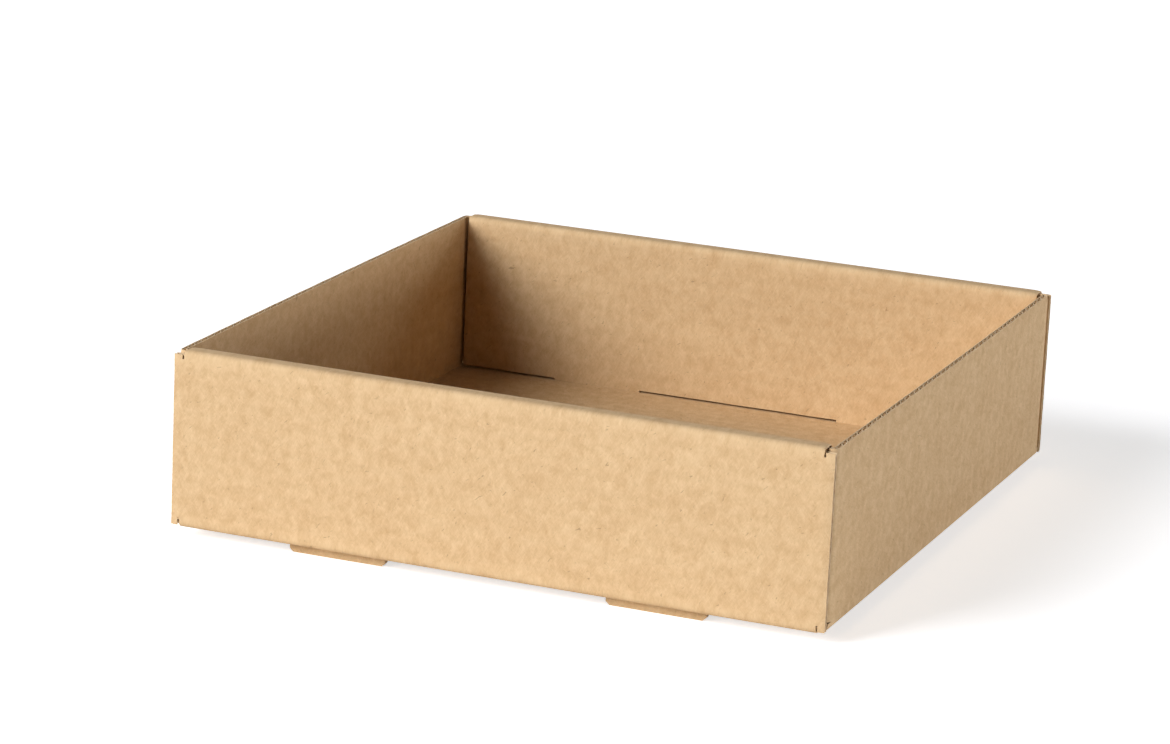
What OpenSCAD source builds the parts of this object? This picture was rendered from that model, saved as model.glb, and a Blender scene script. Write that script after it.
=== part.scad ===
// Open tray folded from one die-cut blank of corrugated board.
// Two opposite walls are rolled: the outer panel turns over a narrow top strip and comes down
// again as an inner panel, whose lock tabs pass through slots in the base. The other two walls
// are single panels, and their corner flaps are held between the layers of the rolled walls.
// Width runs along X, depth along Y. The tray stands on the tips of its lock tabs, at z = 0.

/* [Tray] */
// Clear width inside, between the two single side walls
inside_w = 150; // [120:1:300]
// Clear depth inside, between the two rolled walls
inside_d = 150; // [80:1:300]
// Height inside, from the floor to the top of the rolled walls
inside_h = 39; // [25:1:90]
// How much lower the single side walls are than the rolled walls
side_drop = 0.5; // [0.2:0.1:3]

/* [Board] */
// Thickness of the board
board_t = 1.6; // [1:0.1:3]
// Inside radius of a crease
crease_r = 0.4; // [0.2:0.05:0.5]
// Air between two layers that lie face to face
layer_gap = 0.2; // [0.1:0.05:0.5]
// Width of a cut that parts two panels beside a crease
cut_gap = 0.4; // [0.2:0.1:0.8]

/* [Rolled walls] */
// Air between each end of a rolled top and the corner crease beside it
roll_end_gap = 0.4; // [0.2:0.1:3]
// Air between the lower edge of an inner panel and the base
inner_lift = 0.5; // [0.1:0.1:1]
// How much lower the top ends of an outer panel are than its rolled top
shoulder_drop = 1; // [0.4:0.1:1.1]
// Air under the ends of an outer panel, which reach past the base
ear_lift = 0.6; // [0.2:0.1:1.1]

/* [Lock tabs] */
// Width of a lock tab
tab_w = 23; // [10:0.5:30]
// Distance between the middles of the two lock tabs of one wall
tab_pitch = 75; // [40:1:85]
// How far the lock tabs stand out below the base
tab_proud = 2.4; // [1:0.1:5]
// Cut corner of a lock tab
tab_chamfer = 0.8; // [0.3:0.1:0.9]
// Air around a lock tab in its slot
slot_clear = 0.25; // [0.1:0.05:0.5]

/* [Corner flaps] */
// Length of a corner flap, from the outer face of its side wall
flap_l = 34; // [20:1:50]
// Air above and below a corner flap
flap_clear = 0.7; // [0.3:0.1:2]
// Cut corner at the free end of a corner flap
flap_chamfer = 7; // [2:0.5:10]

/* [Hidden] */
$fn = 64;
kraft = "#D9B88C";

// Outside radius of a crease
crease_o = crease_r + board_t;
// Outer panel, corner flap and inner panel, with the air between them
rolled_t = 3 * board_t + 2 * layer_gap;
outside_w = inside_w + 2 * board_t;
outside_d = inside_d + 2 * rolled_t;
// Levels of the base, of the wall tops and of the crease tangents next to them
base_z = tab_proud;
floor_z = base_z + board_t;
fold_low = base_z + crease_o;
top_z = floor_z + inside_h;
fold_high = top_z - crease_o;
side_top_z = top_z - side_drop;
// Flat part of the base, between its four creases
base_w = outside_w - 2 * crease_o;
base_d = outside_d - 2 * crease_o;
// Outer face of the corner flaps, behind the outer panel
flap_y = outside_d / 2 - board_t - layer_gap;
// Flat part of a side wall, between the creases of its two corner flaps
side_d = 2 * (flap_y - crease_o);
// Length of the rolled top and of the inner panel
roll_w = base_w - 2 * roll_end_gap;
// Lower and upper edge of a corner flap
flap_low = fold_low + flap_clear;
flap_high = min(top_z - board_t - flap_clear, side_top_z);
// Largest share of a corner flap's height that one of its cut corners takes
flap_cut_share = 0.4;

// A quarter turn of the board about the Z axis, from its -Y side round to its +X side
module crease(length) {
    linear_extrude(length)
        intersection() {
            difference() {
                circle(crease_o);
                circle(crease_r);
            }
            translate([0, -crease_o])
                square(crease_o);
        }
}

// The same quarter turn lying along X, from its lower side round to its -Y side
module level_crease(length) {
    rotate([90, 0, -90])
        translate([0, 0, -length / 2])
            crease(length);
}

// A flat panel: an outline in X and Z, one board thick, with its outer face on y = 0
module panel(outline) {
    translate([0, board_t, 0])
        rotate([90, 0, 0])
            linear_extrude(board_t)
                polygon(outline);
}

// Both of a mirrored pair
module pair(axis) {
    children();
    mirror(axis)
        children();
}

// Base with the slots for the lock tabs
module base() {
    slot_w = tab_w + 2 * slot_clear;
    slot_d = board_t + 2 * slot_clear;
    translate([0, 0, base_z])
        linear_extrude(board_t)
            difference() {
                square([base_w, base_d], center = true);
                for (along = [-1, 1], across = [-1, 1])
                    translate([along * tab_pitch / 2, across * (inside_d + board_t) / 2])
                        square([slot_w, slot_d], center = true);
            }
}

// Outer panel of a rolled wall: its ends reach past the base below and past the rolled top above
module outer_panel() {
    half = outside_w / 2;
    ear = base_w / 2 + cut_gap;
    ear_low = base_z + ear_lift;
    neck = roll_w / 2 + cut_gap;
    shoulder = top_z - shoulder_drop;
    panel([
        [-ear, fold_low], [ear, fold_low], [ear, ear_low], [half, ear_low],
        [half, shoulder], [neck, shoulder], [neck, fold_high],
        [-neck, fold_high], [-neck, shoulder], [-half, shoulder],
        [-half, ear_low], [-ear, ear_low]
    ]);
}

// Outline of one lock tab, from the edge of its panel down to its tip and back up
function lock_tab(middle, edge) = [
    [middle - tab_w / 2, edge], [middle - tab_w / 2, tab_chamfer],
    [middle - tab_w / 2 + tab_chamfer, 0], [middle + tab_w / 2 - tab_chamfer, 0],
    [middle + tab_w / 2, tab_chamfer], [middle + tab_w / 2, edge]
];

// Inner panel of a rolled wall, with its two lock tabs
module inner_panel() {
    half = roll_w / 2;
    edge = floor_z + inner_lift;
    panel(concat(
        [[half, fold_high], [-half, fold_high], [-half, edge]],
        lock_tab(-tab_pitch / 2, edge),
        lock_tab(tab_pitch / 2, edge),
        [[half, edge]]
    ));
}

// Front wall: up from the base, over the narrow top strip and down to the base again
module rolled_wall() {
    strip_d = rolled_t - 2 * crease_o;
    translate([0, -outside_d / 2, 0]) {
        translate([0, crease_o, fold_low])
            level_crease(base_w);
        outer_panel();
        translate([0, crease_o, fold_high])
            mirror([0, 0, 1])
                level_crease(roll_w);
        translate([-roll_w / 2, crease_o, top_z - board_t])
            cube([roll_w, strip_d, board_t]);
        translate([0, rolled_t - crease_o, fold_high])
            rotate([180, 0, 0])
                level_crease(roll_w);
        translate([0, rolled_t - board_t, 0])
            inner_panel();
    }
}

// Corner flap at the front end of the right side wall, with the crease that turns it in
module corner_flap() {
    root = outside_w / 2 - crease_o;
    tip = outside_w / 2 - flap_l;
    cut = min(flap_chamfer, flap_cut_share * (flap_high - flap_low));
    translate([root, -flap_y + crease_o, flap_low])
        crease(side_top_z - flap_low);
    translate([0, -flap_y, 0])
        panel([
            [root, flap_low], [root, flap_high], [tip + cut, flap_high],
            [tip, flap_high - cut], [tip, flap_low + cut], [tip + cut, flap_low]
        ]);
}

// Right wall: a single panel with a corner flap at each end
module side_wall() {
    half = side_d / 2;
    translate([outside_w / 2, 0, 0])
        rotate([0, 0, 90]) {
            translate([0, crease_o, fold_low])
                level_crease(side_d);
            panel([[-half, fold_low], [half, fold_low], [half, side_top_z], [-half, side_top_z]]);
        }
    pair([0, 1, 0])
        corner_flap();
}

// The whole tray, folded from one blank
module tray() {
    color(kraft) {
        base();
        pair([0, 1, 0])
            rolled_wall();
        pair([1, 0, 0])
            side_wall();
    }
}

tray();
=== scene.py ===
"""An open tray folded from one blank of fine-flute kraft board, on a pale floor in soft light.

The board is worked out panel by panel. Each panel or crease is a grid of points on the outer liner,
with the direction through the board at each point. The grids share their edge points, so they weld
into one sheet. The sheet then gets its thickness, and every cut edge gets a groove between the two
liners, where the flutes show.
"""

import math

import bpy
import numpy as np
from mathutils import Matrix, Vector


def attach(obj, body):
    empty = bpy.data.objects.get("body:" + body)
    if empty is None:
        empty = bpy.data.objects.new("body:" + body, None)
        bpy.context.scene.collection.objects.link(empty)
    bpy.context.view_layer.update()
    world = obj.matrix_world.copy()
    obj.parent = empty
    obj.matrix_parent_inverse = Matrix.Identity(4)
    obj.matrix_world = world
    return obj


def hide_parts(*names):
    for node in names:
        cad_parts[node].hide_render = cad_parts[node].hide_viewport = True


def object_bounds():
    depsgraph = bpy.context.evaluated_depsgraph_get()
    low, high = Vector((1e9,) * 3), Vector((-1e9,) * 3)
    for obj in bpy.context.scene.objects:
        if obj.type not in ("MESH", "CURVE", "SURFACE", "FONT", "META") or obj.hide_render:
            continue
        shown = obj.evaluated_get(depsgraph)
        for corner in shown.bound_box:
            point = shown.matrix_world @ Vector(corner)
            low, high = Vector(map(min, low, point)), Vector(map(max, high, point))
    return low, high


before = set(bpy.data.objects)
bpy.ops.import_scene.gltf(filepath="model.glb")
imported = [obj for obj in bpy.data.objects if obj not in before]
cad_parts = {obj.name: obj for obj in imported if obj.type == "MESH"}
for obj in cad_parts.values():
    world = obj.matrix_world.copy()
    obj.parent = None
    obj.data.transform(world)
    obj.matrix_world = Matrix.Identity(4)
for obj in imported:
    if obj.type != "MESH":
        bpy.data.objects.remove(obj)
cad_low, cad_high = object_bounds()

MM = 0.001

# Sizes of the blank that the tray's box doesn't give
BOARD = 1.6 * MM
CREASE_IN = 0.4 * MM
LAYER_GAP = 0.2 * MM
CUT_GAP = 0.4 * MM
ROLL_END_GAP = 0.4 * MM
INNER_LIFT = 0.5 * MM
SHOULDER_DROP = 1.0 * MM
EAR_LIFT = 0.6 * MM
SIDE_DROP = 0.5 * MM
SIDE_FOOT_SHORT = 0.4 * MM
TAB_WIDTH = 23 * MM
TAB_PITCH = 75 * MM
TAB_PROUD = 2.4 * MM
TAB_CUT = 0.8 * MM
SLOT_CLEAR = 0.25 * MM
# The inner panel's spring leans each lock tab on the inner edge of its slot
SLOT_LEAN = 0.05 * MM
FLAP_LENGTH = 34 * MM
FLAP_CLEAR = 0.7 * MM
FLAP_FOOT = 0.25 * MM
FLAP_CUT = 7 * MM

# The board's own make-up
LINER = 0.22 * MM
MEDIUM = 0.2 * MM
FLUTE_PITCH = 3.2 * MM

# What folding and cutting leave on the board
WASHBOARD = 0.014 * MM
CREASE_RIDGE = 0.22 * MM
SCORE = 0.13 * MM
FOLD_WEAR = 1.1 * MM
RIM = 0.7 * MM
RIM_CRUSH = 0.16 * MM
KNIFE_MARK = 0.02 * MM
KNIFE_SWING = np.array([[9100.0, 5300.0], [7700.0, 12100.0]])
GROOVE = 0.45 * MM
FLAP_ROOT_GROOVE = 0.2 * MM
SIDE_BOW = 0.35 * MM
ROLLED_BOW = 0.2 * MM
BOW_MARGIN = 1 * MM

# The flutes seen in the grooves
FLUTE_SWING = (BOARD - 2 * RIM_CRUSH - 2 * LINER - MEDIUM) / 2
FLUTE_INSET = 0.05 * MM
FLUTE_DEPTH = GROOVE - FLUTE_INSET
FLUTE_FRAY = 0.03 * MM
FRAY_SWING = 2900
FLUTE_END = 0.1 * MM
POINTS_A_FLUTE = 14

# Places worked out from the tray's box
OUT_W = cad_high.x - cad_low.x
OUT_D = cad_high.y - cad_low.y
TOP = cad_high.z
CREASE_OUT = CREASE_IN + BOARD
CREASE_MID = CREASE_IN + BOARD / 2
TURN = CREASE_MID * math.pi / 2
ROLLED = 3 * BOARD + 2 * LAYER_GAP
IN_D = OUT_D - 2 * ROLLED
UNDERSIDE = TAB_PROUD
FLOOR = UNDERSIDE + BOARD
FOLD_LOW = UNDERSIDE + CREASE_OUT
FOLD_HIGH = TOP - CREASE_OUT
SIDE_TOP = TOP - SIDE_DROP
BASE_W = OUT_W - 2 * CREASE_OUT
BASE_D = OUT_D - 2 * CREASE_OUT
ROLL_W = BASE_W - 2 * ROLL_END_GAP
FLAP_Y = OUT_D / 2 - BOARD - LAYER_GAP
SIDE_D = 2 * (FLAP_Y - CREASE_OUT)
FLAP_LOW = FOLD_LOW + FLAP_FOOT
FLAP_HIGH = TOP - BOARD - FLAP_CLEAR
SIDE_FOOT = BASE_D - SIDE_FOOT_SHORT
STRIP = ROLLED - 2 * CREASE_OUT
INNER_EDGE = FLOOR + INNER_LIFT
EAR_LOW = UNDERSIDE + EAR_LIFT
SHOULDER = TOP - SHOULDER_DROP
SLOT_LOW = IN_D / 2 - SLOT_LEAN
SLOT_HIGH = IN_D / 2 + BOARD + SLOT_CLEAR

# Distance along the blank from its middle to the start of each panel of a rolled wall or side wall
TO_OUTER = BASE_D / 2 + TURN
TO_ROLL = TO_OUTER + FOLD_HIGH - FOLD_LOW
TO_STRIP = TO_ROLL + TURN
TO_TURN_DOWN = TO_STRIP + STRIP
TO_INNER = TO_TURN_DOWN + TURN
TO_SIDE = BASE_W / 2 + TURN
TO_FLAP = SIDE_D / 2 + TURN

# Grid steps, and the distances from an edge that get a grid line of their own
FINE = 0.5 * MM
LONG_STEP = 7 * MM
TALL_STEP = 5 * MM
EAR_STEP = 0.7 * MM
STRIP_STEP = 0.4 * MM
TAB_STEP = 0.6 * MM
FLAP_STEP = 3.2 * MM
FLAP_ROOT = 1 * MM
RIM_LINES = (0.3 * MM, 0.8 * MM, 1.6 * MM)
SCORE_LINES = (0.4 * MM, 1.2 * MM, 2.2 * MM)
TURN_ANGLES = np.linspace(0, math.pi / 2, 9)
TURN_STEPS = TURN_ANGLES * CREASE_MID
BEND_ANGLES = np.linspace(0, math.pi / 2, 15)

# Slack in the count of grid steps, and how near two places are to count as one
LINE_DECIMALS = 9
STEP_SLACK = 1e-6
SAME_LINE = 1e-8
SAME_POINT = 1e-7
TOUCH = 0.01 * MM
WELD_CELL = 0.002 * MM
WELD_SHIFT = 0.37

# Names of the map of places on the blank and of the wear at folds, both read by the finishes
PLACE_MAP = "blank"
FOLD_MAP = "fold"
# Shift on the blank that gives each layer of the board its own stretch of paper
OTHER_SIDE = np.array([0.61, 0.37])
SHARP = math.radians(40)

X = np.array([1.0, 0, 0])
Y = np.array([0, 1.0, 0])
Z = np.array([0, 0, 1.0])


def grid_lines(marks, step):
    """Rising grid lines through every mark, with the runs between marks split into equal steps."""
    marks = np.unique(np.round(np.asarray(marks, float), LINE_DECIMALS))
    counts = np.maximum(1, np.ceil(np.diff(marks) / step - STEP_SLACK)).astype(int)
    runs = [np.linspace(a, b, n, endpoint=False) for a, b, n in zip(marks, marks[1:], counts)]
    return np.concatenate([*runs, marks[-1:]])


def both_ways(*marks):
    """Each mark and its mirror image."""
    return [sign * mark for mark in marks for sign in (-1, 1)]


def within(lines, low, high):
    """The grid lines from low to high."""
    return lines[(lines > low - SAME_LINE) & (lines < high + SAME_LINE)]


def near(distance, reach):
    """1 on an edge, falling to 0 with distance from it."""
    return np.exp(-(np.asarray(distance) / reach) ** 2)


def rim_crush(distance):
    """How far the knife has pressed each liner in, by distance from the cut."""
    return RIM_CRUSH * near(distance, RIM)


def unit(vectors):
    """The same directions, each of length one."""
    return vectors / np.linalg.norm(vectors, axis=1)[:, None]


class Sheet:
    """Grids of points on the outer liner, gathered until they are welded into one sheet."""

    def __init__(self):
        self.grids = []
        self.cells = []
        self.count = 0

    def add(self, points, inward, blank, worn=0.0, crush=0.0, keep=None):
        """Adds one grid. Its cells wind so that their faces look away from the board."""
        rows, cols = points.shape[:2]
        inward = np.broadcast_to(inward, points.shape)
        index = np.arange(rows * cols).reshape(rows, cols) + self.count
        quads = np.stack([index[:-1, :-1], index[1:, :-1], index[1:, 1:], index[:-1, 1:]], -1)
        across = np.cross(points[1:, :-1] - points[:-1, :-1], points[:-1, 1:] - points[:-1, :-1])
        if np.sum(across * inward[:-1, :-1]) > 0:
            quads = quads[..., ::-1]
        if keep is not None:
            quads = quads[keep]
        worn = np.broadcast_to(worn, (rows, cols)).ravel()
        crush = np.broadcast_to(crush, (rows, cols)).ravel()
        self.grids.append((points.reshape(-1, 3), inward.reshape(-1, 3), blank.reshape(-1, 2), worn, crush))
        self.cells.append(quads.reshape(-1, 4))
        self.count += rows * cols

    def weld(self):
        """Joins points in one cell of a fine lattice, which is shifted so that round sizes lie inside
        its cells, and leaves out points that no cell of the grids uses."""
        parts = [np.concatenate(part) for part in zip(*self.grids)]
        key = np.round(parts[0] / WELD_CELL + WELD_SHIFT).astype(np.int64)
        _, first, to = np.unique(key, axis=0, return_index=True, return_inverse=True)
        cells = to.ravel()[np.concatenate(self.cells)]
        used = np.unique(cells)
        slim = np.full(len(first), -1)
        slim[used] = np.arange(len(used))
        return [part[first[used]] for part in parts], slim[cells]


def plate(origin, along, up, u, v):
    """Flat grid: origin plus u steps along one direction and v steps along the other."""
    return np.asarray(origin) + u[:, None, None] * along + v[None, :, None] * up


def crease_section(start, end, angles):
    """Section of a crease about its axis: the outer radius, turned by each angle from the start face
    to the end face. Board folds a little sharper than a round bend half way through."""
    facing = np.cos(angles)[:, None] * start + np.sin(angles)[:, None] * end
    radius = CREASE_OUT + CREASE_RIDGE * np.sin(2 * angles) ** 2
    return radius[:, None] * facing, facing


def quarter_turn(centre, along, start, end, u):
    """Crease grid: the section of the crease at each step u along its axis."""
    section, facing = crease_section(start, end, TURN_ANGLES)
    points = np.asarray(centre) + u[:, None, None] * along + section[None]
    return points, np.broadcast_to(-facing[None], points.shape)


def blank_place(a, b):
    """Places on the flat blank for a grid with first places a and second places b."""
    return np.stack(np.broadcast_arrays(a, b), -1)


def tray_sheet():
    """The tray's outer liner: base, rolled walls, side walls and corner flaps."""
    sheet = Sheet()
    tab_marks = [side * TAB_PITCH / 2 + end * (TAB_WIDTH / 2 + clear)
                 for side in (-1, 1) for end in (-1, 1) for clear in (0, SLOT_CLEAR)]
    x_marks = both_ways(OUT_W / 2, BASE_W / 2, ROLL_W / 2, BASE_W / 2 + CUT_GAP,
                        *(ROLL_W / 2 - m for m in RIM_LINES), *(OUT_W / 2 - m for m in RIM_LINES[:2]))
    y_marks = both_ways(BASE_D / 2, SIDE_FOOT / 2, SIDE_D / 2, SLOT_LOW, SLOT_HIGH)
    x_all = grid_lines(x_marks + tab_marks, LONG_STEP)
    y_all = grid_lines(y_marks, FINE)
    x_base = within(x_all, -BASE_W / 2, BASE_W / 2)
    base(sheet, x_base, y_all)
    for face in (-1, 1):
        rolled_wall(sheet, face, x_all, x_base)
    for face in (-1, 1):
        side_wall(sheet, face, y_all)
    return sheet


def base(sheet, x_base, y_all):
    """The base: a flat grid without the cells of its four slots."""
    x_mid = np.abs(np.abs((x_base[1:] + x_base[:-1]) / 2) - TAB_PITCH / 2)
    y_mid = np.abs((y_all[1:] + y_all[:-1]) / 2)
    slot = (x_mid < TAB_WIDTH / 2 + SLOT_CLEAR)[:, None] & (y_mid > SLOT_LOW) & (y_mid < SLOT_HIGH)
    worn = np.maximum(near(BASE_D / 2 - np.abs(y_all), FOLD_WEAR)[None],
                      near(BASE_W / 2 - np.abs(x_base), FOLD_WEAR)[:, None])
    points = plate((0, 0, UNDERSIDE), X, Y, x_base, y_all)
    sheet.add(points, Z, points[..., :2], worn, keep=~slot)


def rolled_wall(sheet, face, x_all, x_base):
    """One rolled wall, front for -1 and back for 1: up, over the narrow strip and down again."""
    centre = (0, face * (OUT_D / 2 - CREASE_OUT), FOLD_LOW)
    points, inward = quarter_turn(centre, X, -Z, face * Y, x_base)
    sheet.add(points, inward, blank_place(x_base[:, None], face * (BASE_D / 2 + TURN_STEPS)), 1.0)
    outer_panel(sheet, face, x_all)
    x_roll = within(x_all, -ROLL_W / 2, ROLL_W / 2)
    roll_rim = rim_crush(ROLL_W / 2 - np.abs(x_roll))[:, None]
    rolled_top(sheet, face, x_roll, roll_rim)
    inner_panel(sheet, face, x_roll, roll_rim)


def outer_panel(sheet, face, x_all):
    """Outer panel of a rolled wall: a flat grid, with its ears beside the base's crease and its
    shoulders beside the rolled top."""
    ears = (BASE_W / 2 + CUT_GAP, grid_lines([EAR_LOW, FOLD_LOW], EAR_STEP))
    shoulders = (ROLL_W / 2 + CUT_GAP, grid_lines([FOLD_HIGH, SHOULDER], FINE))
    stretches = [(x_all, grid_lines([FOLD_LOW, FOLD_HIGH], FINE))]
    for start, heights in (ears, shoulders):
        stretches.append((within(x_all, start, OUT_W / 2), heights))
        stretches.append((within(x_all, -OUT_W / 2, -start), heights))
    for xs, zs in stretches:
        worn = np.maximum(near(zs - FOLD_LOW, FOLD_WEAR), near(FOLD_HIGH - zs, FOLD_WEAR))[None]
        points = plate((0, face * OUT_D / 2, 0), X, Z, xs, zs)
        blank = blank_place(xs[:, None], face * (TO_OUTER + zs - FOLD_LOW))
        sheet.add(points, -face * Y, blank, worn, rim_crush(OUT_W / 2 - np.abs(xs))[:, None])


def rolled_top(sheet, face, x_roll, roll_rim):
    """Top of a rolled wall: a crease, the narrow flat strip, and a crease down to the inner panel."""
    out = face * Y
    axis_y = face * (OUT_D / 2 - CREASE_OUT)
    xs = x_roll[:, None]
    points, inward = quarter_turn((0, axis_y, FOLD_HIGH), X, out, Z, x_roll)
    rim = roll_rim * np.sin(TURN_ANGLES) ** 2
    sheet.add(points, inward, blank_place(xs, face * (TO_ROLL + TURN_STEPS)), 1.0, rim)
    across = grid_lines([0, STRIP], STRIP_STEP)
    points = plate((0, axis_y, TOP), X, -out, x_roll, across)
    sheet.add(points, -Z, blank_place(xs, face * (TO_STRIP + across)), 1.0, roll_rim)
    points, inward = quarter_turn((0, axis_y - face * STRIP, FOLD_HIGH), X, Z, -out, x_roll)
    sheet.add(points, inward, blank_place(xs, face * (TO_TURN_DOWN + TURN_STEPS)), 1.0, roll_rim)


def inner_panel(sheet, face, x_roll, roll_rim):
    """Inner panel of a rolled wall: a flat grid, then one for each of its two lock tabs, drawn in
    towards the tab's middle below its cut corners."""
    out = face * Y
    drops = grid_lines([0, FOLD_HIGH - INNER_EDGE], FINE)
    points = plate((0, face * IN_D / 2, FOLD_HIGH), X, -Z, x_roll, drops)
    blank = blank_place(x_roll[:, None], face * (TO_INNER + drops))
    sheet.add(points, out, blank, near(drops, FOLD_WEAR)[None], roll_rim)
    lift = grid_lines([0, TAB_CUT, UNDERSIDE, INNER_EDGE], TAB_STEP)[::-1]
    narrow = 1 - np.maximum(0, TAB_CUT - lift) / (TAB_WIDTH / 2)
    for middle in both_ways(TAB_PITCH / 2):
        xs = within(x_roll, middle - TAB_WIDTH / 2, middle + TAB_WIDTH / 2)
        points = plate((0, face * IN_D / 2, 0), X, Z, xs, lift)
        points[..., 0] = middle + (points[..., 0] - middle) * narrow
        blank = blank_place(xs[:, None], face * (TO_INNER + FOLD_HIGH - lift))
        sheet.add(points, out, blank, crush=rim_crush(lift)[None])


def side_wall(sheet, face, y_all):
    """One single side wall, left for -1 and right for 1, with its two corner flaps."""
    out = face * X
    y_side = within(y_all, -SIDE_D / 2, SIDE_D / 2)
    y_foot = within(y_all, -SIDE_FOOT / 2, SIDE_FOOT / 2)
    points, inward = quarter_turn((face * (OUT_W / 2 - CREASE_OUT), 0, FOLD_LOW), Y, -Z, out, y_foot)
    sheet.add(points, inward, blank_place(face * (BASE_W / 2 + TURN_STEPS), y_foot[:, None]), 1.0)

    rims = [SIDE_TOP - m for m in RIM_LINES]
    scores = [FOLD_LOW + m for m in SCORE_LINES]
    heights = grid_lines([FOLD_LOW, *scores, FLAP_LOW, FLAP_HIGH, *rims, SIDE_TOP], TALL_STEP)
    worn = np.maximum(near(SIDE_D / 2 - np.abs(y_side), FOLD_WEAR)[:, None],
                      near(heights - FOLD_LOW, FOLD_WEAR)[None])
    points = plate((face * OUT_W / 2, 0, 0), Y, Z, y_side, heights)
    blank = blank_place(face * (TO_SIDE + heights - FOLD_LOW), y_side[:, None])
    sheet.add(points, -out, blank, worn, rim_crush(SIDE_TOP - heights)[None])
    for end in (-1, 1):
        corner_flap(sheet, face, end, heights)


def corner_flap(sheet, face, end, heights):
    """Corner flap at one end of a side wall: the crease that turns it in, then a flat grid, drawn in
    towards its mid height beyond its cut corners."""
    out = face * X
    axis_x = face * (OUT_W / 2 - CREASE_OUT)
    zs = within(heights, FLAP_LOW, SIDE_TOP)
    points, inward = quarter_turn((axis_x, end * (FLAP_Y - CREASE_OUT), 0), Z, out, end * Y, zs)
    blank = blank_place(face * (TO_SIDE + zs - FOLD_LOW)[:, None], end * (SIDE_D / 2 + TURN_STEPS))
    sheet.add(points, inward, blank, 1.0, rim_crush(SIDE_TOP - zs)[:, None])

    length = FLAP_LENGTH - CREASE_OUT
    half = (FLAP_HIGH - FLAP_LOW) / 2
    middle = (FLAP_HIGH + FLAP_LOW) / 2
    reach = grid_lines([0, FLAP_ROOT, length - FLAP_CUT, length], FLAP_STEP)
    narrow = 1 - np.maximum(0, reach - (length - FLAP_CUT)) / half
    zs = within(heights, FLAP_LOW, FLAP_HIGH)
    points = plate((axis_x, end * FLAP_Y, 0), -out, Z, reach, zs)
    points[..., 2] = middle + (points[..., 2] - middle) * narrow[:, None]
    blank = blank_place(face * (TO_SIDE + zs - FOLD_LOW), end * (TO_FLAP + reach)[:, None])
    sheet.add(points, -end * Y, blank, crush=rim_crush(SIDE_TOP - zs)[None])


def cut_edges(points, inward, cells):
    """The cut edges of a sheet, which only one cell has: the start and end of each, the points on
    them, and at each point the mitred way into the board, so that a groove keeps its depth."""
    starts, ends = cells.ravel(), np.roll(cells, -1, axis=1).ravel()
    size = len(points)
    cut = ~np.isin(starts * size + ends, ends * size + starts)
    starts, ends = starts[cut], ends[cut]
    step = unit(points[ends] - points[starts])
    into = unit(np.cross(-(inward[starts] + inward[ends]) / 2, step))
    total = np.zeros_like(points)
    np.add.at(total, starts, into)
    np.add.at(total, ends, into)
    edge = np.unique(starts)
    mitre = 2 * total[edge] / np.sum(total[edge] ** 2, axis=1)[:, None]
    return starts, ends, edge, mitre


def groove_depth(points):
    """Depth of the groove between the liners: shallower at the root of a corner flap, where two cuts
    meet."""
    x, y, z = points.T
    on_crease = np.abs(np.abs(x) - OUT_W / 2 + CREASE_OUT) < TOUCH
    on_flap = np.abs(np.abs(y) - FLAP_Y) < TOUCH
    return np.where(on_crease & on_flap & (z > FLAP_HIGH - TOUCH), FLAP_ROOT_GROOVE, GROOVE)


def board_from_sheet(sheet):
    """Gives the sheet its thickness. The knife presses both liners together at a cut, both ripple over
    the flutes, and the inner one has a valley beside each fold. Faces run over the outer
    liner, then over the inner one, and each cut edge gets five bands: the outer liner's edge, into the
    groove, its bottom, out again, and the inner liner's edge."""
    (points, inward, blank, worn, crush), cells = sheet.weld()
    starts, ends, edge, mitre = cut_edges(points, inward, cells)
    wave = WASHBOARD * (1 - worn) * np.sin(2 * math.pi * blank[:, 1] / FLUTE_PITCH)
    outer = points + (crush + wave)[:, None] * inward
    score = SCORE * 4 * worn * (1 - worn)
    inner = points + (BOARD - crush - score + wave)[:, None] * inward
    ragged = KNIFE_MARK * np.sin(blank[edge] @ KNIFE_SWING).sum(1)[:, None]
    outer[edge] += ragged * mitre
    inner[edge] -= ragged * mitre
    depth = groove_depth(points[edge])[:, None] * mitre
    lip_out = outer[edge] + LINER * inward[edge]
    lip_in = inner[edge] - LINER * inward[edge]
    lips = [lip_out, lip_out + depth, lip_in + depth, lip_in]

    liner = np.arange(len(points))
    place = np.full(len(points), -1)
    place[edge] = np.arange(len(edge))
    first = 2 * len(points) + len(edge) * np.arange(len(lips))
    rings = [liner, *(place + f for f in first), liner + len(points)]
    bands = [np.stack([a[ends], a[starts], b[starts], b[ends]], -1) for a, b in zip(rings, rings[1:])]
    faces = np.concatenate([cells, cells[:, ::-1] + len(points), *bands])
    slots = np.repeat([0, 1], [2 * len(cells), len(bands) * len(starts)])
    lip_places = [blank[edge] + OTHER_SIDE * (k + 2) for k in range(len(lips))]
    places = np.concatenate([blank, blank + OTHER_SIDE, *lip_places])
    wear = np.concatenate([worn, worn, np.zeros(len(lips) * len(edge))])
    return np.concatenate([outer, inner, *lips]), faces, slots, places, wear


def bow(points):
    """The slight spring of folded board: side walls belly out at mid length, rolled walls less so."""
    x, y, z = points.T
    rise = np.clip((z - FOLD_LOW) / (TOP - FOLD_LOW), 0, 1)
    along = np.cos(np.clip(y / SIDE_D, -0.5, 0.5) * math.pi)
    across = np.cos(np.clip(x / ROLL_W, -0.5, 0.5) * math.pi)
    on_side = np.abs(x) > BASE_W / 2
    on_rolled = np.abs(y) > IN_D / 2 - BOW_MARGIN
    moved = points.copy()
    moved[:, 0] += np.sign(x) * SIDE_BOW * rise * along * on_side
    moved[:, 1] += np.sign(y) * ROLLED_BOW * rise * across * on_rolled
    return moved


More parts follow.
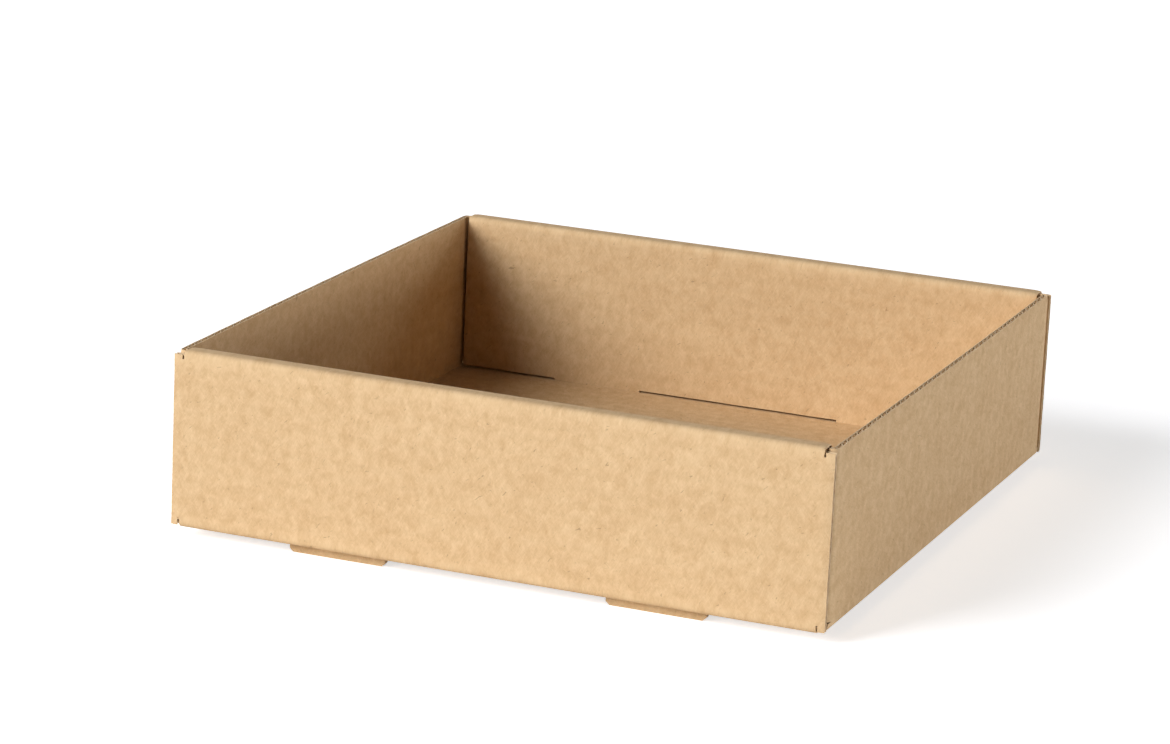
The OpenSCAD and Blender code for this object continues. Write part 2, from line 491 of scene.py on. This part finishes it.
def flute_ribbon(cut, into):
    """The fluted paper seen at one cut: a sine wave between the liners along the cut, swung by the
    place along the blank. A flat four-cornered section of the paper is carried along that wave, and
    it reaches from the frayed edge near the cut down into the groove."""
    points, inward, along = cut
    swing = FLUTE_SWING * np.sin(2 * math.pi * along / FLUTE_PITCH)
    middle = points + inward * (BOARD / 2 + swing)[:, None]
    ahead = np.gradient(points, axis=0)
    slope = np.gradient(swing) / np.linalg.norm(ahead, axis=1)
    square = inward - slope[:, None] * unit(ahead)
    square *= MEDIUM / 2 / np.linalg.norm(square, axis=1)[:, None]
    front = into * (FLUTE_INSET + FLUTE_FRAY * np.sin(along * FRAY_SWING))[:, None]
    back = into * FLUTE_DEPTH
    ring = np.stack([middle - square + front, middle + square + front,
                     middle + square + back, middle - square + back], 1)
    count = len(points)
    index = np.arange(count * 4).reshape(count, 4)
    turned = np.roll(index, -1, axis=1)
    sides = np.stack([index[:-1], index[1:], turned[1:], turned[:-1]], -1).reshape(-1, 4)
    faces = np.concatenate([sides, index[:1], index[-1:, ::-1]])
    a, b, c, d = ring.reshape(-1, 3)[faces.T]
    if np.sum(a * np.cross(b, c) + a * np.cross(c, d)) < 0:
        faces = faces[:, ::-1]
    places = np.stack([np.repeat(along, 4), np.tile([0, 0, FLUTE_DEPTH, FLUTE_DEPTH], count)], -1)
    return ring.reshape(-1, 3), faces, places


def cut_path(*stretches):
    """Joins stretches of a cut end to end. Each has its points, the directions through the board and
    the places along the blank."""
    points = np.concatenate([s[0] for s in stretches])
    inward = np.concatenate([np.broadcast_to(s[1], s[0].shape) for s in stretches])
    along = np.concatenate([s[2] for s in stretches])
    fresh = np.append(True, np.linalg.norm(np.diff(points, axis=0), axis=1) > SAME_POINT)
    return points[fresh], inward[fresh], along[fresh]


def straight(start, end, inward, start_along, end_along):
    """A straight stretch of cut, with the same number of points to each flute."""
    start, end = np.asarray(start, float), np.asarray(end, float)
    count = int(np.linalg.norm(end - start) / FLUTE_PITCH * POINTS_A_FLUTE)
    t = np.linspace(0, 1, max(2, count))[:, None]
    return start + t * (end - start), inward, (start_along + t * (end_along - start_along)).ravel()


def bent(centre, from_face, to_face, start_along, direction):
    """A stretch of cut round a crease."""
    section, facing = crease_section(from_face, to_face, BEND_ANGLES)
    return np.asarray(centre) + section, -facing, start_along + direction * BEND_ANGLES * CREASE_MID


def side_top_cut(face):
    """The cut along the top of a side wall, and round the creases of its two corner flaps."""
    out = face * X
    x, axis_x, axis_y = face * OUT_W / 2, face * (OUT_W / 2 - CREASE_OUT), FLAP_Y - CREASE_OUT
    turn_in = bent((axis_x, -axis_y, SIDE_TOP), out, -Y, -SIDE_D / 2, -1)
    turn_in = tuple(part[::-1] for part in turn_in)
    wall = straight((x, -SIDE_D / 2, SIDE_TOP), (x, SIDE_D / 2, SIDE_TOP), -out, -SIDE_D / 2, SIDE_D / 2)
    turn_out = bent((axis_x, axis_y, SIDE_TOP), out, Y, SIDE_D / 2, 1)
    return cut_path(turn_in, wall, turn_out)


def outer_end_cut(face, end):
    """The upright cut at one end of an outer panel."""
    x, y = end * OUT_W / 2, face * OUT_D / 2
    low, high = EAR_LOW + FLUTE_END, SHOULDER - FLUTE_END
    start_along, end_along = face * (TO_OUTER + low - FOLD_LOW), face * (TO_OUTER + high - FOLD_LOW)
    return cut_path(straight((x, y, low), (x, y, high), -face * Y, start_along, end_along))


def roll_end_cut(face, end):
    """The cut at one end of a rolled top, and down the end of its inner panel."""
    out = face * Y
    x, inner_y = end * ROLL_W / 2, face * IN_D / 2
    axis_y = face * (OUT_D / 2 - CREASE_OUT)
    far_y = axis_y - face * STRIP
    low = INNER_EDGE + FLUTE_END
    over = bent((x, axis_y, FOLD_HIGH), out, Z, face * TO_ROLL, face)
    flat = straight((x, axis_y, TOP), (x, far_y, TOP), -Z, face * TO_STRIP, face * TO_TURN_DOWN)
    down = bent((x, far_y, FOLD_HIGH), Z, -out, face * TO_TURN_DOWN, face)
    panel = straight((x, inner_y, FOLD_HIGH), (x, inner_y, low), out,
                     face * TO_INNER, face * (TO_INNER + FOLD_HIGH - low))
    return cut_path(over, flat, down, panel)


def tray_flutes():
    """Flutes along every cut across them that shows: side wall tops, and the ends of rolled walls."""
    ribbons = [flute_ribbon(side_top_cut(face), -Z) for face in (-1, 1)]
    for face in (-1, 1):
        for end in (-1, 1):
            ribbons += [flute_ribbon(cut(face, end), -end * X) for cut in (outer_end_cut, roll_end_cut)]
    points, faces, places = zip(*ribbons)
    first = np.cumsum([0] + [len(part) for part in points])
    faces = [part + start for part, start in zip(faces, first)]
    return np.concatenate(points), np.concatenate(faces), np.concatenate(places)


def mesh_object(name, points, faces, materials, slots=None, places=None, wear=None):
    """A mesh piece at the origin from whole arrays: points, four-cornered faces, slots and places."""
    mesh = bpy.data.meshes.new(name)
    mesh.from_pydata(points, [], faces)
    for material in materials:
        mesh.materials.append(material)
    if slots is not None:
        mesh.polygons.foreach_set("material_index", slots.astype(np.int32))
    if places is not None:
        corners = np.zeros(len(mesh.loops), np.int32)
        mesh.loops.foreach_get("vertex_index", corners)
        layer = mesh.uv_layers.new(name=PLACE_MAP)
        layer.data.foreach_set("uv", places[corners].astype(np.float32).ravel())
    if wear is not None:
        mesh.attributes.new(FOLD_MAP, "FLOAT", "POINT").data.foreach_set("value", wear.astype(np.float32))
    mesh.polygons.foreach_set("use_smooth", np.ones(len(mesh.polygons), bool))
    mesh.set_sharp_from_angle(angle=SHARP)
    mesh.update()
    piece = bpy.data.objects.new(name, mesh)
    bpy.context.scene.collection.objects.link(piece)
    return piece


# Layers of the paper: cycles a metre across and along the layer, and the layer's turn on the blank
CLOUD_SCALE = 95
FLOCK = (420, 300)
FIBRE_ONE = (2600, 520, 0.5)
FIBRE_TWO = (2300, 700, -0.65)
DARK_FLECK = (1500, 620, 0.9)
PALE_FLECK = (640, 1300, 0.4)
DARK_HAIR = (620, 240, 0.35)
PALE_HAIR = (300, 700, -0.5)
RUBBING = (260, 260)

# How much each layer counts for in the tone, the colour and the height of the paper
NOISE_MIDDLE = 0.5
MID_TONE = 0.5
CLOUD_SWAY = 0.3
FLOCK_SWAY = 1.5
FIBRE_SWAY = 1.6
FIBRE_SHARES = (0.55, 0.45)
DARK_FLECK_SHARE = 0.5
PALE_FLECK_SHARE = 0.35
DARK_HAIR_SHARE = 0.3
PALE_HAIR_SHARE = 0.4
FLOCK_HEIGHT = 0.5
HAIR_HEIGHT = 0.25

# Colours of the papers, their shine and how far their fibres stand up
# The dark fibre colour also gives the painted shade stripes of the washboard on the liner
DARK_FIBRE_AND_SHADE = (0.27, 0.15, 0.065)
LINER_PULP = (0.555, 0.345, 0.163)
LINER_PALE = (0.78, 0.56, 0.312)
EDGE_PULP = (0.66, 0.46, 0.25)
EDGE_PALE = (0.88, 0.69, 0.44)
FLUTE_PULP = (0.64, 0.45, 0.25)
FLUTE_PALE = (0.86, 0.67, 0.43)
PAPER_SHINE = 0.22
FIBRE_LIFT = 0.1 * MM


def feed(tree, node, inputs):
    """Links each named or numbered input of a node to another node's output, or sets its own value."""
    for name, value in inputs.items():
        if isinstance(value, bpy.types.NodeSocket):
            tree.links.new(value, node.inputs[name])
        else:
            node.inputs[name].default_value = value


def add_node(tree, kind, inputs, **settings):
    """One node with its settings and its inputs."""
    node = tree.nodes.new(kind)
    for name, value in settings.items():
        setattr(node, name, value)
    feed(tree, node, inputs)
    return node


def noise(tree, place, scale=1, detail=2, rough=0.5, twist=0):
    """Cloudy values from 0 to 1 at a place."""
    inputs = {"Vector": place, "Scale": scale, "Detail": detail, "Roughness": rough, "Distortion": twist}
    return add_node(tree, "ShaderNodeTexNoise", inputs).outputs[0]


def stretched(tree, place, across, along, turn=0):
    """A place turned on the blank, then scaled by different amounts across and along that turn."""
    inputs = {"Vector": place, "Scale": (1 / across, 1 / along, 1), "Rotation": (0, 0, turn)}
    return add_node(tree, "ShaderNodeMapping", inputs, vector_type="TEXTURE").outputs[0]


def ranged(tree, value, low, high, to_low=0, to_high=1):
    """A value carried smoothly from one range to another."""
    inputs = {"Value": value, "From Min": low, "From Max": high, "To Min": to_low, "To Max": to_high}
    return add_node(tree, "ShaderNodeMapRange", inputs, interpolation_type="SMOOTHSTEP").outputs[0]


def maths(tree, how, *values):
    """One sum on one, two or three values."""
    return add_node(tree, "ShaderNodeMath", dict(enumerate(values)), operation=how).outputs[0]


def mixed(tree, amount, first, second):
    """Two colours mixed."""
    return add_node(tree, "ShaderNodeMix", {0: amount, 6: first, 7: second}, data_type="RGBA").outputs[2]


def swayed(tree, value, layer, amount):
    """A value raised where a layer is above its middle and lowered where it is below."""
    return maths(tree, "MULTIPLY_ADD", maths(tree, "SUBTRACT", layer, NOISE_MIDDLE), amount, value)


def fleck_spots(tree, place, low, high):
    """Flecks: the highest spots of a twisted cloud."""
    return ranged(tree, noise(tree, place, detail=1, twist=0.8), low, high)


def hair_lines(tree, place, width):
    """Single fibres: thin contour lines of a twisted cloud, broken into short pieces by a second one."""
    cloud = noise(tree, place, detail=1, rough=0.4, twist=1.5)
    off_line = maths(tree, "ABSOLUTE", maths(tree, "SUBTRACT", cloud, NOISE_MIDDLE))
    line = ranged(tree, off_line, low=0, high=width, to_low=1, to_high=0)
    pieces = ranged(tree, noise(tree, place, scale=2.3, detail=1), low=0.5, high=0.62)
    return maths(tree, "MULTIPLY", line, pieces)


def paper_group():
    """Unbleached paper: cloudy pulp, fibres that lie mostly along the web, and dark and pale flecks.
    Puts out the colour, the roughness and the height of the fibres."""
    group = bpy.data.node_groups.new("kraft_paper", "ShaderNodeTree")
    face = group.interface
    face.new_socket("Place", in_out="INPUT", socket_type="NodeSocketVector")
    for name in ("Pulp", "Pale pulp", "Dark fibre"):
        face.new_socket(name, in_out="INPUT", socket_type="NodeSocketColor")
    face.new_socket("Grain", in_out="INPUT", socket_type="NodeSocketFloat")
    face.new_socket("Color", in_out="OUTPUT", socket_type="NodeSocketColor")
    face.new_socket("Roughness", in_out="OUTPUT", socket_type="NodeSocketFloat")
    face.new_socket("Height", in_out="OUTPUT", socket_type="NodeSocketFloat")
    given = group.nodes.new("NodeGroupInput").outputs
    place, grain, pale, dark = given["Place"], given["Grain"], given["Pale pulp"], given["Dark fibre"]

    cloud = noise(group, place, CLOUD_SCALE, detail=3, rough=0.6)
    flock = noise(group, stretched(group, place, *FLOCK), detail=3, rough=0.6, twist=0.4)
    fibre_one = noise(group, stretched(group, place, *FIBRE_ONE), twist=1.2)
    fibre_two = noise(group, stretched(group, place, *FIBRE_TWO), twist=1.2)
    fibres = maths(group, "MULTIPLY", fibre_one, FIBRE_SHARES[0])
    fibres = maths(group, "MULTIPLY_ADD", fibre_two, FIBRE_SHARES[1], fibres)
    dark_fleck = fleck_spots(group, stretched(group, place, *DARK_FLECK), low=0.70, high=0.80)
    pale_fleck = fleck_spots(group, stretched(group, place, *PALE_FLECK), low=0.69, high=0.80)
    dark_hair = hair_lines(group, stretched(group, place, *DARK_HAIR), width=0.012)
    pale_hair = hair_lines(group, stretched(group, place, *PALE_HAIR), width=0.014)

    tone = swayed(group, MID_TONE, cloud, CLOUD_SWAY)
    tone = swayed(group, tone, flock, maths(group, "MULTIPLY", grain, FLOCK_SWAY))
    tone = swayed(group, tone, fibres, maths(group, "MULTIPLY", grain, FIBRE_SWAY))
    colour = mixed(group, ranged(group, tone, 0, 1), given["Pulp"], pale)
    for mask, share, tint in ((dark_fleck, DARK_FLECK_SHARE, dark), (pale_fleck, PALE_FLECK_SHARE, pale),
                              (dark_hair, DARK_HAIR_SHARE, dark), (pale_hair, PALE_HAIR_SHARE, pale)):
        colour = mixed(group, maths(group, "MULTIPLY", mask, share), colour, tint)
    rough = ranged(group, fibres, low=0.3, high=0.7, to_low=0.98, to_high=0.8)
    height = maths(group, "MULTIPLY_ADD", flock, FLOCK_HEIGHT, fibres)
    height = maths(group, "MULTIPLY_ADD", pale_hair, HAIR_HEIGHT, height)
    add_node(group, "NodeGroupOutput", {"Color": colour, "Roughness": rough, "Height": height})
    return group


def paper_material(name, group, pulp, pale, grain, lift, folds=0, washboard_painted_shade=0):
    """A finish made from the paper group, with worn folds and painted washboard shade where they are asked
    for.
    """
    material = bpy.data.materials.new(name)
    material.use_nodes = True
    tree = material.node_tree
    pulp, pale, dark = (*pulp, 1), (*pale, 1), (*DARK_FIBRE_AND_SHADE, 1)
    place = add_node(tree, "ShaderNodeUVMap", {}, uv_map=PLACE_MAP).outputs[0]
    inputs = {"Place": place, "Pulp": pulp, "Pale pulp": pale, "Dark fibre": dark, "Grain": grain}
    paper = add_node(tree, "ShaderNodeGroup", inputs, node_tree=group).outputs
    colour = paper["Color"]
    # Painted shade: faint dark stripes at the flute pitch stand in for the shading of the washboard
    if washboard_painted_shade:
        along = add_node(tree, "ShaderNodeSeparateXYZ", {0: place}).outputs[1]
        wave = maths(tree, "SINE", maths(tree, "MULTIPLY", along, 2 * math.pi / FLUTE_PITCH))
        colour = mixed(tree, ranged(tree, wave, -1, 1, to_high=washboard_painted_shade), colour, dark)
    if folds:
        fold = add_node(tree, "ShaderNodeAttribute", {}, attribute_name=FOLD_MAP).outputs["Fac"]
        rubbing = noise(tree, stretched(tree, place, *RUBBING), detail=4, rough=0.7)
        broken = ranged(tree, rubbing, low=0.35, high=0.7)
        rubbed = maths(tree, "MULTIPLY", maths(tree, "MULTIPLY", fold, broken), folds)
        colour = mixed(tree, rubbed, colour, pale)
    relief = {"Height": paper["Height"], "Strength": lift, "Distance": FIBRE_LIFT}
    bump = add_node(tree, "ShaderNodeBump", relief).outputs[0]
    feed(tree, tree.nodes["Principled BSDF"], {
        "Base Color": colour, "Roughness": paper["Roughness"], "Normal": bump,
        "Specular IOR Level": PAPER_SHINE})
    return material


paper = paper_group()
# The liner's stripes along the flutes are painted washboard shade, mixed towards the dark fibre colour
kraft_liner = paper_material("kraft_liner", paper, LINER_PULP, LINER_PALE, grain=0.5, lift=0.35,
                             folds=0.5, washboard_painted_shade=0.03)
cut_edge = paper_material("cut_edge", paper, EDGE_PULP, EDGE_PALE, grain=0.7, lift=0.5)
flute_paper = paper_material("flute_paper", paper, FLUTE_PULP, FLUTE_PALE, grain=0.7, lift=0.5)

points, faces, slots, places, wear = board_from_sheet(tray_sheet())
board = mesh_object("tray_board", bow(points), faces, [kraft_liner, cut_edge], slots, places, wear)
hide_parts("tray")
points, faces, places = tray_flutes()
flutes = mesh_object("tray_flutes", bow(points), faces, [flute_paper], None, places)
for piece in (board, flutes):
    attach(piece, "root")

# Camera: where the photograph was taken from
EYE_AZIMUTH = math.radians(21.472)
EYE_ELEVATION = math.radians(14.9)
EYE_ROLL = math.radians(2.684)
EYE_DISTANCE = 1023.9 * MM
LENS = 131.28
SENSOR = 36
NEAREST = 0.05
FARTHEST = 20
AIM = Vector((-24.06, 32.41, 19.4)) * MM

# Light: name, place, aim, width, height and power of each lamp, and what the room and the floor add
LAMPS = (
    ("key", (-2.1, -2.75, 1.9), (0, 0, 0), 2.2, 2.2, 189),
    ("right_card", (1.5, 0.5, 0.1), (0, 0, 0.1), 2.0, 0.2, 11),
    ("high_card", (1.5, 1.2, 0.55), (0, 0, 0), 0.7, 0.4, 5),
    ("front_card", (0.3, -1.6, 0.1), (0, 0, 0.1), 2.0, 0.2, 2.5),
    ("back_card", (-0.3, 1.7, 0.08), (0, 0, 0.08), 2.0, 0.16, 9),
)
LIGHT_TINT = (0.985, 1.0, 1.06)
ROOM_LEVEL = 0.008
FLOOR_REACH = 4.0
FLOOR_WHITE = (0.9, 0.89, 0.875)
FLOOR_LIFT = 0.65


def add_camera():
    """A long lens aimed at a point in the tray, turned a little about its own axis."""
    ahead = Vector((-math.sin(EYE_AZIMUTH) * math.cos(EYE_ELEVATION),
                    math.cos(EYE_AZIMUTH) * math.cos(EYE_ELEVATION), -math.sin(EYE_ELEVATION)))
    level = Vector((math.cos(EYE_AZIMUTH), math.sin(EYE_AZIMUTH), 0))
    upright = level.cross(ahead)
    right = level * math.cos(EYE_ROLL) + upright * math.sin(EYE_ROLL)
    up = upright * math.cos(EYE_ROLL) - level * math.sin(EYE_ROLL)
    eye = AIM - ahead * EYE_DISTANCE
    camera = bpy.data.objects.new("camera", bpy.data.cameras.new("camera"))
    camera.data.sensor_width = SENSOR
    camera.data.lens = LENS
    camera.data.clip_start = NEAREST
    camera.data.clip_end = FARTHEST
    camera.matrix_world = Matrix((
        (right.x, up.x, -ahead.x, eye.x), (right.y, up.y, -ahead.y, eye.y),
        (right.z, up.z, -ahead.z, eye.z), (0, 0, 0, 1)))
    bpy.context.scene.collection.objects.link(camera)
    bpy.context.scene.camera = camera


def add_lamp(name, place, aim, width, height, power):
    """A flat soft lamp at a place, looking at another place."""
    light = bpy.data.lights.new(name, "AREA")
    light.shape = "RECTANGLE"
    light.size = width
    light.size_y = height
    light.energy = power
    light.color = LIGHT_TINT
    lamp = bpy.data.objects.new(name, light)
    lamp.location = place
    lamp.rotation_euler = (Vector(place) - Vector(aim)).to_track_quat("Z", "Y").to_euler()
    lamp.visible_camera = False
    bpy.context.scene.collection.objects.link(lamp)


def seen_rays(tree):
    """1 for what the camera sees, straight, mirrored or through something clear, and 0 for other light."""
    rays = add_node(tree, "ShaderNodeLightPath", {}).outputs
    seen = maths(tree, "MAXIMUM", rays["Is Camera Ray"], rays["Is Glossy Ray"])
    return maths(tree, "MAXIMUM", seen, rays["Is Transmission Ray"])


def add_room():
    """Even light from all round, which is white to the camera and to what mirrors it."""
    world = bpy.data.worlds.new("room")
    bpy.context.scene.world = world
    world.use_nodes = True
    tree = world.node_tree
    strength = maths(tree, "MAXIMUM", seen_rays(tree), ROOM_LEVEL)
    feed(tree, tree.nodes["Background"], {"Color": (*LIGHT_TINT, 1), "Strength": strength})


def add_floor():
    """A wide pale floor under the lock tabs, which glows to the camera and to what mirrors it."""
    material = bpy.data.materials.new("studio_floor")
    material.use_nodes = True
    tree = material.node_tree
    glow = maths(tree, "MULTIPLY", seen_rays(tree), FLOOR_LIFT)
    feed(tree, tree.nodes["Principled BSDF"], {
        "Base Color": (*FLOOR_WHITE, 1), "Roughness": 1, "Specular IOR Level": 0,
        "Emission Color": (1, 1, 1, 1), "Emission Strength": glow})
    corners = FLOOR_REACH * np.array([(-1, -1, 0), (1, -1, 0), (1, 1, 0), (-1, 1, 0)])
    floor = mesh_object("floor", corners, np.array([[0, 1, 2, 3]]), [material])


add_camera()
add_floor()
for lamp in LAMPS:
    add_lamp(*lamp)
add_room()
bpy.context.scene.view_settings.view_transform = "Standard"
